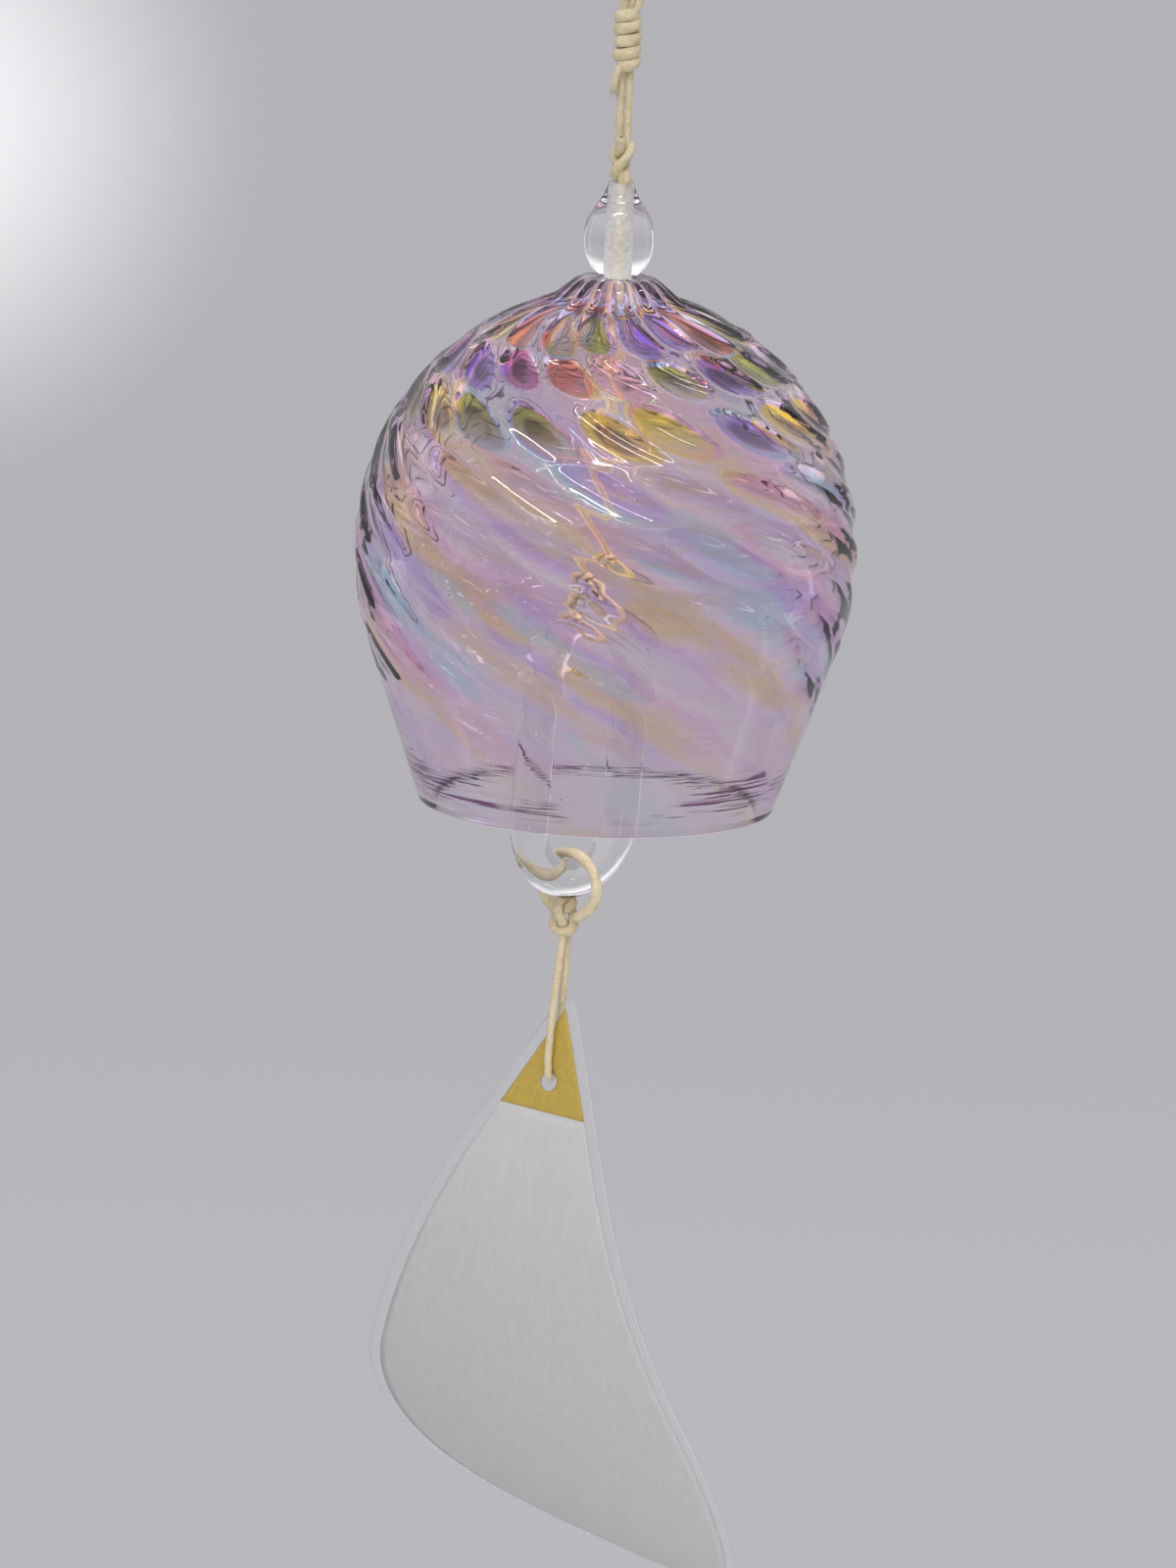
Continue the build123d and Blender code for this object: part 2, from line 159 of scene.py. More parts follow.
def tube(line, radius, plies=0, dip=0.0, twist=0.0, around=18, step=0.2, flat=1.0, side=None, swell=None):
    """Vertices, faces and corner UVs of a round-ended tube, grooved as a twisted cord."""
    line = spaced(np.asarray(line, float), step)
    count = len(line)
    tangent = unit(np.gradient(line, axis=0))
    if side is None:
        normal = np.zeros_like(line)
        normal[0] = unit(np.cross(tangent[0], (0.31, 0.83, 0.47)))
        for i in range(1, count):
            normal[i] = unit(normal[i - 1] - tangent[i] * np.dot(normal[i - 1], tangent[i]))
    else:
        side = np.asarray(side, float)
        normal = unit(side - tangent * (tangent @ side)[:, None])
    cross = np.cross(tangent, normal)
    run = np.concatenate([[0], np.cumsum(np.linalg.norm(np.diff(line, axis=0), axis=1))])
    size = np.full(count, float(radius))
    if swell is not None:
        size = size * swell(run / run[-1])
    bend = np.radians([75.0, 50.0, 25.0])
    line = np.vstack([
        line[0] - np.outer(np.sin(bend) * size[0], tangent[0]),
        line,
        line[-1] + np.outer(np.sin(bend[::-1]) * size[-1], tangent[-1]),
    ])
    size = np.concatenate([np.cos(bend) * size[0], size, np.cos(bend[::-1]) * size[-1]])
    normal = np.vstack([np.repeat(normal[:1], 3, 0), normal, np.repeat(normal[-1:], 3, 0)])
    cross = np.vstack([np.repeat(cross[:1], 3, 0), cross, np.repeat(cross[-1:], 3, 0)])
    run = np.concatenate([run[0] - np.sin(bend) * radius, run, run[-1] + np.sin(bend[::-1]) * radius])
    theta = np.arange(around) * TAU / around
    groove = 1 - dip * (1 - np.abs(np.cos(plies * (theta[None] - twist * run[:, None]) / 2)))
    reach = size[:, None] * groove
    verts = line[:, None] + (reach * np.cos(theta))[..., None] * normal[:, None]
    verts = verts + (reach * np.sin(theta) * flat)[..., None] * cross[:, None]
    faces, corner_r, corner_c = grid(len(line), around, True)
    uv = np.stack([corner_c / around, run[corner_r] / 10], -1).reshape(-1, 2)
    faces = [list(f) for f in faces[:, ::-1]]
    uv = uv.reshape(-1, 4, 2)[:, ::-1].reshape(-1, 2).tolist()
    last = (len(line) - 1) * around
    faces.append(list(range(around)))
    faces.append(list(range(last + around - 1, last - 1, -1)))
    uv += [(j / around, run[0] / 10) for j in range(around)]
    uv += [(j / around, run[-1] / 10) for j in range(around - 1, -1, -1)]
    return verts.reshape(-1, 3), faces, uv


def joined(name, parts, materials, slots=None):
    """One object from several tubes."""
    verts, faces, uv, marks = [], [], [], []
    first = 0
    for number, (v, f, t) in enumerate(parts):
        verts.append(v)
        faces += [[first + i for i in face] for face in f]
        uv += list(t)
        marks += [slots[number] if slots else 0] * len(f)
        first += len(v)
    return new_object(name, np.vstack(verts), faces, uv, materials, marks)


def tuft(root, heading, count, length, spread):
    """Loose fibres at a cut end of cord."""
    heading = unit(np.asarray(heading, float))
    parts = []
    for _ in range(count):
        away = unit(rng.normal(size=3))
        lean = heading + spread * away
        start = np.asarray(root) + 0.35 * rng.normal(size=3) * (1 - np.abs(heading))
        tip = start + lean * length * rng.uniform(0.55, 1.0)
        middle = (start + tip) / 2 + 0.25 * rng.normal(size=3)
        parts.append(tube(nurbs([start - heading * 0.8, start, middle, tip], 6), 0.13, around=6, step=0.3,
                          swell=lambda s: 1 - 0.75 * s))
    return parts


# Node helpers

class Nodes:
    """Short calls for the nodes of one tree."""

    def __init__(self, tree):
        self.tree = tree

    def put(self, socket, value):
        if isinstance(value, bpy.types.NodeSocket):
            self.tree.links.new(value, socket)
        else:
            socket.default_value = value

    def node(self, kind, inputs=None, **settings):
        made = self.tree.nodes.new(kind)
        for key, value in settings.items():
            setattr(made, key, value)
        for socket, value in (inputs or {}).items():
            self.put(made.inputs[socket], value)
        return made

    def math(self, operation, a, b=0.0, clamp=False):
        made = self.node("ShaderNodeMath", {0: a, 1: b}, operation=operation, use_clamp=clamp)
        return made.outputs[0]

    def fit(self, value, low, high, to_low=0.0, to_high=1.0):
        made = self.node(
            "ShaderNodeMapRange",
            {"Value": value, "From Min": low, "From Max": high, "To Min": to_low, "To Max": to_high},
            interpolation_type="SMOOTHSTEP",
        )
        return made.outputs[0]

    def mix(self, factor, a, b, blend="MIX"):
        made = self.node("ShaderNodeMix", {0: factor, 6: a, 7: b}, data_type="RGBA", blend_type=blend)
        return made.outputs[2]

    def ramp(self, value, stops, mode="LINEAR"):
        made = self.node("ShaderNodeValToRGB", {0: value})
        band = made.color_ramp
        band.interpolation = mode
        while len(band.elements) < len(stops):
            band.elements.new(1.0)
        for element, (place, colour) in zip(band.elements, stops):
            element.position = place
            element.color = (*colour, 1.0)
        return made.outputs[0]

    def noise(self, vector, scale, detail=3.0, rough=0.5, distort=0.0):
        made = self.node(
            "ShaderNodeTexNoise",
            {"Vector": vector, "Scale": scale, "Detail": detail, "Roughness": rough, "Distortion": distort},
        )
        return made.outputs["Fac"]

    def coords(self, which="Object"):
        return self.node("ShaderNodeTexCoord").outputs[which]

    def scaled(self, vector, scale):
        return self.node("ShaderNodeMapping", {"Vector": vector, "Scale": scale}).outputs[0]


class Look(Nodes):
    """A material and its main shader."""

    def __init__(self, name):
        self.mat = bpy.data.materials.new(name)
        self.mat.use_nodes = True
        super().__init__(self.mat.node_tree)
        self.shader = self.tree.nodes["Principled BSDF"]

    def set(self, **values):
        for key, value in values.items():
            self.put(self.shader.inputs[key.replace("_", " ")], value)

    def bump(self, height, strength, distance):
        made = self.node("ShaderNodeBump", {"Height": height, "Strength": strength, "Distance": distance})
        self.set(Normal=made.outputs[0])


# Materials

GLASS_IOR = 1.5


def cord_look():
    look = Look("waxed_cotton")
    uv = look.coords("UV")
    fibre = look.noise(look.scaled(uv, (9.0, 5.0, 1.0)), 3.0, 4.0, 0.65)
    tone = look.noise(look.coords(), 420.0, 2.0)
    shade = look.mix(look.fit(fibre, 0.32, 0.68), (0.56, 0.44, 0.235, 1), (0.8, 0.71, 0.475, 1))
    shade = look.mix(look.fit(tone, 0.35, 0.65, 0.0, 0.45), shade, (0.83, 0.74, 0.52, 1))
    look.set(Base_Color=shade, Roughness=0.72, Sheen_Weight=0.18, Sheen_Roughness=0.5)
    look.bump(fibre, 0.55, 0.00018)
    return look.mat


def clear_look():
    look = Look("clear_glass")
    ripple = look.noise(look.coords(), 160.0, 2.0)
    shade = look.mix(ripple, (0.99, 0.99, 0.99, 1), (0.955, 0.965, 0.965, 1))
    look.set(Base_Color=shade, Roughness=look.fit(ripple, 0.3, 0.7, 0.0, 0.02))
    look.set(Transmission_Weight=1.0, IOR=GLASS_IOR)
    look.bump(ripple, 0.12, 0.0004)
    return look.mat


def frosted_look():
    look = Look("frosted_bore")
    grain = look.noise(look.coords(), 1500.0, 3.0, 0.65)
    shade = look.mix(look.fit(grain, 0.3, 0.7), (0.7, 0.68, 0.655, 1), (0.92, 0.9, 0.875, 1))
    look.set(Base_Color=shade, Roughness=look.fit(grain, 0.35, 0.65, 0.35, 0.7))
    look.set(Transmission_Weight=0.5, IOR=GLASS_IOR)
    look.bump(grain, 0.7, 0.0003)
    return look.mat


LILAC = (0.87, 0.7, 1.0)
PINK = (1.0, 0.7, 0.86)
OCHRE = (1.0, 0.82, 0.42)
CYAN = (0.62, 0.96, 1.0)
PALE = (1.0, 0.96, 0.99)
ROSE = (1.0, 0.62, 0.74)
VIOLET = (0.71, 0.61, 1.0)
BANDS = [LILAC, OCHRE, PALE, CYAN, VIOLET, PINK, PALE, OCHRE,
         ROSE, LILAC, CYAN, PALE, VIOLET, OCHRE, PINK, PALE]
CELLS = [(1.0, 0.7, 0.02), (0.3, 0.16, 0.85), (1.0, 0.42, 0.45), (0.9, 0.56, 0.02), (0.4, 0.06, 0.24),
         (0.2, 0.24, 0.01), (0.3, 0.55, 1.0), (0.62, 0.08, 0.05), (1.0, 0.76, 0.08), (0.22, 0.1, 0.62)]


def bell_look():
    """Twisted bands of pale colour, deeper on the shoulder, clear at the rim, with painted shade in the
    shoulder's cell cores and in dark dashes at the rim.
    """
    look = Look("swirled_glass")
    place = look.coords()
    uv = look.coords("UV")
    parts = look.node("ShaderNodeSeparateXYZ", {0: uv})
    run = parts.outputs[1]
    core = look.node("ShaderNodeAttribute", attribute_name="core").outputs["Fac"]
    skin = look.node("ShaderNodeAttribute", attribute_name="skin").outputs["Fac"]
    high = look.math("MULTIPLY", look.fit(run, 0.04, 0.09), look.fit(run, 0.32, 0.48, 1.0, 0.0))
    drift = look.math("SUBTRACT", look.noise(place, 55.0, 3.0, 0.55), 0.5)
    turn = look.math("MULTIPLY", parts.outputs[0], 2.0)
    turn = look.math("ADD", turn, look.math("MULTIPLY", drift, 0.14))
    ring = look.math("ADD", look.math("MULTIPLY", high, 0.2), 0.045)
    turn = look.math("ADD", turn, look.math("MULTIPLY", core, ring))
    turn = look.math("FRACT", turn)
    stops = [(i / len(BANDS), colour) for i, colour in enumerate(BANDS)]
    stops.append((1.0, BANDS[0]))
    bands = look.ramp(turn, stops, "EASE")
    streak = look.noise(look.scaled(uv, (16.0, 7.0, 1.0)), 1.0, 1.0, 0.5, 0.4)
    other = look.ramp(look.math("FRACT", look.math("ADD", turn, 0.36)), stops, "EASE")
    bands = look.mix(look.fit(streak, 0.48, 0.58, 0.0, 0.7), bands, other)
    side = look.node("ShaderNodeSeparateXYZ", {0: place}).outputs[1]
    rich = look.fit(side, -0.02, 0.02, 1.0, 0.3)
    edge = look.fit(core, 0.02, 0.2, 1.0, 0.0)
    fade = look.fit(run, 0.5, 0.95, 1.6, 0.85)
    power = look.math("ADD", fade, look.math("MULTIPLY", high, 0.9))
    edge_share = look.math("ADD", look.math("MULTIPLY", high, 1.1), 0.4)
    power = look.math("SUBTRACT", power, look.math("MULTIPLY", edge, edge_share))
    power = look.math("MULTIPLY", power, rich)
    power = look.math("MULTIPLY", power, look.fit(run, 0.06, 0.14, 0.6, 1.0))
    colour = look.node("ShaderNodeGamma", {"Color": bands, "Gamma": power}).outputs[0]
    pick = look.node("ShaderNodeAttribute", attribute_name="hue").outputs["Fac"]
    cell = look.ramp(pick, [(i / len(CELLS), colour_of) for i, colour_of in enumerate(CELLS)], "CONSTANT")
    # Vivid colour pooled in the front shoulder's cell hollows: partly the glass's own colour, partly painted
    # shade for the darkness the cells' optics give
    pooled_tint_and_shade = look.math("MULTIPLY", look.fit(core, 0.22, 0.45), high)
    pooled_tint_and_shade = look.math("MULTIPLY", pooled_tint_and_shade, look.fit(look.noise(place, 60.0, 1.0), 0.25, 0.42, 0.6, 1.0))
    pooled_tint_and_shade = look.math("MULTIPLY", pooled_tint_and_shade, look.fit(side, -0.01, 0.015, 1.0, 0.15))
    colour = look.mix(pooled_tint_and_shade, colour, cell)
    # Painted shade: the cores of these cells are darkened towards near black
    painted_core_shade = look.math("MULTIPLY", look.fit(core, 0.66, 0.86), pooled_tint_and_shade)
    painted_core_shade = look.math("MULTIPLY", painted_core_shade, look.fit(look.noise(place, 90.0, 1.0), 0.4, 0.55))
    colour = look.mix(painted_core_shade, colour, (0.12, 0.05, 0.09, 1), "MULTIPLY")
    warm = look.math("MULTIPLY", look.fit(run, 0.16, 0.26), look.fit(run, 0.4, 0.56, 0.4, 0.0))
    warm = look.math("MULTIPLY", warm, look.fit(side, -0.01, 0.015, 1.0, 0.2))
    warm = look.math("MULTIPLY", warm, look.fit(streak, 0.4, 0.6, 0.3, 0.8))
    warm = look.math("MULTIPLY", warm, look.math("SUBTRACT", 1.0, pooled_tint_and_shade))
    colour = look.mix(warm, colour, (1.0, 0.84, 0.45, 1))
    wash = look.math("MULTIPLY", look.fit(run, 0.78, 0.95), 0.55)
    colour = look.mix(wash, colour, (0.98, 0.93, 0.965, 1))
    dash = look.noise(look.scaled(uv, (10.0, 180.0, 1.0)), 1.0, 2.0, 0.6)
    patch = look.noise(place, 48.0, 3.0, 0.6)
    ragged = look.math("ADD", run, look.math("MULTIPLY", look.math("SUBTRACT", patch, 0.5), 0.16))
    band = look.math("MULTIPLY", look.fit(ragged, 0.915, 0.93), look.fit(run, 0.965, 0.99, 1.0, 0.0))
    ripple = look.math("MULTIPLY", dash, look.fit(ragged, 0.84, 0.9))
    look.bump(ripple, 1.0, 0.00003)
    # Painted shade: dark dashes near the rim, standing in for the dark streaks that the rim's glass refracts
    rim_dash_shade = look.math("MULTIPLY", look.fit(dash, 0.5, 0.55), band)
    rim_dash_shade = look.math("MULTIPLY", rim_dash_shade, look.fit(patch, 0.38, 0.47))
    rim_dash_shade = look.math("MULTIPLY", rim_dash_shade, look.fit(side, -0.012, 0.012, 1.0, 0.1))
    colour = look.mix(rim_dash_shade, colour, (0.1, 0.02, 0.09, 1))
    cells = look.node("ShaderNodeTexVoronoi", {"Vector": place, "Scale": 210.0}, feature="F1")
    sparse = look.node("ShaderNodeSeparateColor", {0: cells.outputs["Color"]}).outputs[0]
    seed = look.math("MULTIPLY", look.math("LESS_THAN", cells.outputs["Distance"], 0.04),
                     look.math("GREATER_THAN", sparse, 0.75))
    colour = look.mix(seed, colour, (0.05, 0.03, 0.06, 1))
    colour = look.mix(skin, (0.99, 0.98, 0.99, 1), colour)
    look.set(Base_Color=colour, Transmission_Weight=1.0, IOR=GLASS_IOR, Roughness=0.0)
    absorb = look.node("ShaderNodeVolumeAbsorption", {"Color": (0.79, 0.5, 0.77, 1), "Density": 80.0})
    out = look.tree.nodes["Material Output"]
    look.put(out.inputs["Volume"], absorb.outputs[0])
    return look.mat


def paper_look():
    look = Look("washi_paper")
    place = look.coords()
    fibre = look.noise(look.scaled(place, (1.0, 1.0, 0.35)), 900.0, 4.0, 0.7)
    cloud = look.noise(place, 60.0, 2.0)
    shade = look.mix(look.fit(fibre, 0.3, 0.7), (0.6, 0.595, 0.595, 1), (0.65, 0.645, 0.64, 1))
    shade = look.mix(look.math("MULTIPLY", cloud, 0.2), shade, (0.585, 0.585, 0.59, 1))
    look.set(Base_Color=shade, Roughness=0.55)
    look.bump(fibre, 0.12, 0.0001)
    return look.mat


def gold_look():
    look = Look("gold_foil")
    place = look.coords()
    grain = look.noise(place, 2400.0, 3.0, 0.6)
    cloud = look.noise(place, 240.0, 2.0)
    shade = look.mix(look.fit(grain, 0.3, 0.7), (0.45, 0.3, 0.0, 1), (0.58, 0.4, 0.012, 1))
    shade = look.mix(look.math("MULTIPLY", cloud, 0.25), shade, (0.63, 0.46, 0.06, 1))
    look.set(Base_Color=shade, Roughness=0.45)
    look.bump(grain, 0.25, 0.0001)
    return look.mat


def film_look(name, alpha):
    look = Look(name)
    haze = look.noise(look.coords(), 220.0, 2.0)
    shade = look.mix(haze, (0.74, 0.745, 0.76, 1), (0.8, 0.8, 0.81, 1))
    look.set(Base_Color=shade, Roughness=0.22, Alpha=alpha)
    return look.mat


cord = cord_look()
clear = clear_look()
frosted = frosted_look()
swirled = bell_look()
paper = paper_look()
gold = gold_look()
film = film_look("laminate", 0.08)
film_edge = film_look("laminate_edge", 0.5)


# Camera at the photograph's angle

CAMERA_DOWN = 11.7
CAMERA_ROLL = 2.4
CAMERA_AWAY = 2.5
VIEW_HEIGHT = 0.2528
SENSOR = 24.0
aim = Vector((-0.0013, 0.0, -0.1561))
back = Vector((0.0, -math.cos(math.radians(CAMERA_DOWN)), math.sin(math.radians(CAMERA_DOWN))))
camera_data = bpy.data.cameras.new("camera")
camera_data.sensor_fit = "VERTICAL"
camera_data.sensor_height = SENSOR
camera_data.lens = SENSOR * CAMERA_AWAY / VIEW_HEIGHT
camera_data.clip_end = 20.0
camera = bpy.data.objects.new("camera", camera_data)
bpy.context.scene.collection.objects.link(camera)
facing = back.to_track_quat("Z", "Y").to_matrix().to_4x4()
roll = Matrix.Rotation(math.radians(CAMERA_ROLL), 4, "Z")
camera.matrix_world = Matrix.Translation(aim + back * CAMERA_AWAY) @ facing @ roll
bpy.context.scene.camera = camera


# Hanging cord: doubled, up from the upper knot, round the eye and back

def mirrored(half):
    return half + [(-x, y, z) for x, y, z in reversed(half)]


HANG_LEVELS = (-53.0, -45.0, -37.0, CORE_HIGH, CORE_HIGH + EYE_LEG)
hang_route = mirrored([(-STRAND_X, 0, z) for z in HANG_LEVELS] + [
    (-EYE_HALF, 0, EYE_TOP - EYE_SIDE),
    (-EYE_HALF, 0, EYE_TOP),
])
hang_line = nurbs(hang_route)
PLIES = {"plies": 3, "dip": 0.16, "twist": 0.9}
hanging_cord = joined("hanging_cord", [tube(hang_line, CORD_R, **PLIES)], [cord])


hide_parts("hanging_eye", "barrel_core", "upper_strand_left", "upper_strand_right")
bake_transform(hanging_cord)

# Barrel knot: one winding that tucks in at both ends, with its cut tails
TURN_POINTS = 12
LAST_POINT = BARREL_TURNS * TURN_POINTS
TUCK_POINTS = 3
TUCK_STEP = 0.22
SLACK = 0.08
SLACK_WAVES = 2.3
HELIX_R = BARREL_R / 0.966
WRAP_WIDE = 1.02
WRAP_FLAT = 0.78
winding = []
for i in range(-TUCK_POINTS, LAST_POINT + TUCK_POINTS + 1):
    inside = max(0, -i, i - LAST_POINT)
    at = math.radians(270 + 360 * i / TURN_POINTS)
    level = min(max(i, 0), LAST_POINT) / TURN_POINTS
    reach = HELIX_R - TUCK_STEP * inside
    slack = SLACK * math.sin(SLACK_WAVES * i / TURN_POINTS * TAU / 3)
    z = BARREL_LOW + WRAP_R + BARREL_PITCH * level + slack
    winding.append((reach * math.cos(at), reach * math.sin(at), z))
parts = [tube(nurbs(winding), WRAP_WIDE, 3, 0.1, 0.5, around=22, flat=WRAP_FLAT, side=(0, 0, 1))]
CUT_TAIL_R = 0.62
TUFT_COUNT = 14
TUFT_LENGTH = 1.5
TUFT_SPREAD = 0.5
low_tail = [(-0.6, -1.1, -38.2), (-1.4, -1.5, -39.4), (-1.75, -1.5, -41.0), (-1.95, -1.45, -42.4)]
high_tail = [(0.6, -1.0, -31.0), (1.3, -1.4, -29.6), (1.75, -1.35, -28.2), (2.1, -1.25, -26.6)]
for tail_route in (low_tail, high_tail):
    tail_line = nurbs(tail_route)
    parts.append(tube(tail_line, CUT_TAIL_R, **PLIES))
    parts += tuft(tail_line[-1], tail_line[-1] - tail_line[-8], TUFT_COUNT, TUFT_LENGTH, TUFT_SPREAD)
barrel = joined("barrel_knot", parts, [cord])
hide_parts("barrel_wraps")
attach(barrel, "hanger")


# Overhand knots, drawn tight from a loose loop

def overhand(rounds=260, loose=0.35, long=19.5, reach=4.2, count=150):
    """Rope points one diameter apart, in diameters, that run along Z into and out of the knot."""
    at = np.linspace(math.pi + loose, 3 * math.pi - loose, 400)
    loop = np.stack([np.sin(at) + 2 * np.sin(2 * at), np.cos(at) - 2 * np.cos(2 * at), -np.sin(3 * at)], 1)
    ends = np.array([(reach, -3.6, 0.0), (-reach, -3.6, 0.0)])
    goals = np.array([(reach, 0.0, 0.0), (-reach, 0.0, 0.0)])
    line = np.vstack([np.linspace(ends[0], loop[0], 60), loop[1:-1], np.linspace(loop[-1], ends[1], 60)])
    whole = np.linalg.norm(np.diff(line, axis=0), axis=1).sum()
    p = spaced(line, whole / (count - 1))
    index = np.arange(len(p))
    steps = np.abs(index[:, None] - index[None])
    for turn in range(rounds):
        share = min(1.0, turn / (0.8 * rounds))
        rest = (whole + (long - whole) * share) / (len(p) - 1)
        hold = ends + (goals - ends) * min(1.0, 3 * share)
        for _ in range(4):
            for odd in (0, 1):
                n = (len(p) - odd) // 2
                a = p[odd:odd + 2 * n:2]
                b = p[odd + 1:odd + 1 + 2 * n:2]
                gap = b - a
                far = np.linalg.norm(gap, axis=1, keepdims=True)
                pull = gap * (0.5 * (far - rest) / np.maximum(far, 1e-9))
                a += pull
                b -= pull
            p[1:-1] += 0.08 * (p[:-2] + p[2:] - 2 * p[1:-1])
            gap = p[:, None] - p[None]
            far = np.linalg.norm(gap, axis=2)
            near = (steps > math.ceil(1.6 / rest)) & (far < 1.0)
            push = np.where(near, (1.0 - far) * 0.5 / np.maximum(far, 1e-6), 0.0)
            p += (push[..., None] * gap).sum(1) / np.maximum(near.sum(1), 1)[:, None]
            p[0] = hold[0]
            p[-1] = hold[1]
    return p[:, [1, 2, 0]]


rope = overhand()


def knot_line(mid, diameter, high, low, spin):
    """The tied knot at a height, turned about the hanging line and cut where its cord goes on."""
    at = math.radians(spin)
    line = rope * diameter
    x = line[:, 0] * math.cos(at) - line[:, 1] * math.sin(at)
    y = line[:, 0] * math.sin(at) + line[:, 1] * math.cos(at)
    line = np.stack([x, y, line[:, 2] + mid], 1)
    keep = (line[:, 2] < high) & (line[:, 2] > low)
    return line[keep]


DOUBLE = {"plies": 2, "dip": 0.24, "twist": 0.35, "around": 24}


def knot(name, node, body, mid, diameter, half, spin, lean=False):
    line = knot_line(mid, diameter, mid + half, mid - half, spin)
    if lean:
        line = leaned(line)
    made = joined(name, [tube(line, diameter / 2, **DOUBLE)], [cord])
    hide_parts(node)
    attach(made, body)


knot("overhand_knot", "upper_knot", "upper_cord", KNOT_MID, 1.72, 3.3, 100)
knot("stopper_knot", "stop_knot", "bead_cord", STOP_MID, 1.95, 2.9, 20)
knot("link_knot", "clapper_knot", "clapper_cord", CLAPPER_KNOT, 1.4, 2.5, 60, True)
knot("tail_tie", "tail_knot", "tail_knot", TAIL_KNOT, 1.7, 2.5, 200, True)


# Straight strands through the bead and down inside the bell

def strand(name, node, body, route):
    line = nurbs(route)
    made = joined(name, [tube(line, CORD_R, **PLIES)], [cord])
    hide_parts(node)
    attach(made, body)


BORE_LEVELS = (BEAD_TOP + 1.6, -63.0, -70.0, STOP_HIGH - 1.0)
INNER_LEVELS = (STOP_LOW + 1.2, -95.0, -108.0, INNER_LOW)
for sign, node in ((-1, "bore_strand_front"), (1, "bore_strand_back")):
    y = sign * STRAND_X
    strand(node + "_cord", node, "bead_cord",
           [(0, y, z) for z in BORE_LEVELS])
yaw = math.radians(LINK_YAW)
for sign, node in ((-1, "inner_strand_left"), (1, "inner_strand_right")):
    x = sign * STRAND_X * math.cos(yaw)
    y = sign * STRAND_X * math.sin(yaw)
    strand(node + "_cord", node, "clapper_cord",
           leaned([(x, y, z) for z in INNER_LEVELS]))


# Loops of cord round the link

LOOP_STEPS = 14
LOOP_OPEN = 24
LOOP_EASE = 1.02
LOOP_CORD_R = 0.95


def loop(name, node, body, mid, up, wide, tall, turn):
    """An open loop that starts and ends in its knot, which lies up or down from the middle."""
    route = []
    for i in range(LOOP_STEPS + 1):
        at = math.radians(up * 90 + LOOP_OPEN + (360 - 2 * LOOP_OPEN) * i / LOOP_STEPS)
        across = wide * math.cos(at) * LOOP_EASE
        rise = tall * math.sin(at) * LOOP_EASE
        route.append((-across * math.sin(turn), across * math.cos(turn), mid + rise))
    made = joined(name, [tube(nurbs(leaned(route)), LOOP_CORD_R, **DOUBLE)], [cord])
    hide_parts(node)
    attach(made, body)


loop("upper_link_loop", "clapper_loop", "clapper_cord", UPPER_LOOP, 1, LOOP_R, LOOP_R, yaw)
loop("lower_link_loop", "tail_loop", "tail_knot", LOWER_LOOP, -1, TAIL_LOOP_HALF, LOOP_R, yaw)

# Tail cord: down from the knot, through the sheet's hole and back
SHEET_YAW = -32.9
SHEET_ROLL = 15.4
LEAN_X = -14.7
LEAN_Y = 3.7
STRAND_DROP = 24.0
LEG_GAP = 1.3


def turned(axis, degrees):
    return np.array(Matrix.Rotation(math.radians(degrees), 4, axis))


def moved(z, x=0.0):
    return np.array(Matrix.Translation((x, 0, z)))


def placed(matrix, points):
    return np.asarray(points, float) @ matrix[:3, :3].T + matrix[:3, 3]


tail_x, _, tail_z = leaned((0, 0, TAIL_TOP))
tail_place = moved(tail_z, tail_x) @ turned("X", LEAN_X) @ turned("Y", LEAN_Y) @ turned("Z", SHEET_YAW)
tail_half = [
    (0.0, -STRAND_X, 0.6),
    (0.0, -STRAND_X, -2.5),
    (0.0, -LEG_GAP, -10.0),
    (0.0, -LEG_GAP, -STRAND_DROP),
]
tail_route = placed(tail_place, tail_half + [(x, -y, z) for x, y, z in reversed(tail_half)])
tail_line = nurbs([tuple(p) for p in tail_route])
tail_cord = joined("tail_cord_loop", [tube(tail_line, CORD_R, **PLIES)], [cord])
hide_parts("tail_strand")
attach(tail_cord, "tail_cord")


# Bead: a drop of clear glass with a frosted bore

BEAD_AROUND = 72
heights = np.array([0.0, 0.094, 0.396, 0.695, 0.85, 1.0]) * (BEAD_TOP - SEAT)
radii = np.array([3.0, 4.3, 5.65, 4.5, 2.85, 2.05])


def smooth_curve(x, y, at):
    """A natural cubic through the points."""
    h = np.diff(x)
    n = len(x)
    a = np.eye(n)
    b = np.zeros(n)
    for i in range(1, n - 1):
        a[i, i - 1:i + 2] = h[i - 1], 2 * (h[i - 1] + h[i]), h[i]
        b[i] = 6 * ((y[i + 1] - y[i]) / h[i] - (y[i] - y[i - 1]) / h[i - 1])
    m = np.linalg.solve(a, b)
    k = np.clip(np.searchsorted(x, at) - 1, 0, n - 2)
    left = at - x[k]
    right = x[k + 1] - at
    curve = (m[k] * right ** 3 + m[k + 1] * left ** 3) / (6 * h[k])
    return curve + (y[k] / h[k] - m[k] * h[k] / 6) * right + (y[k + 1] / h[k] - m[k + 1] * h[k] / 6) * left


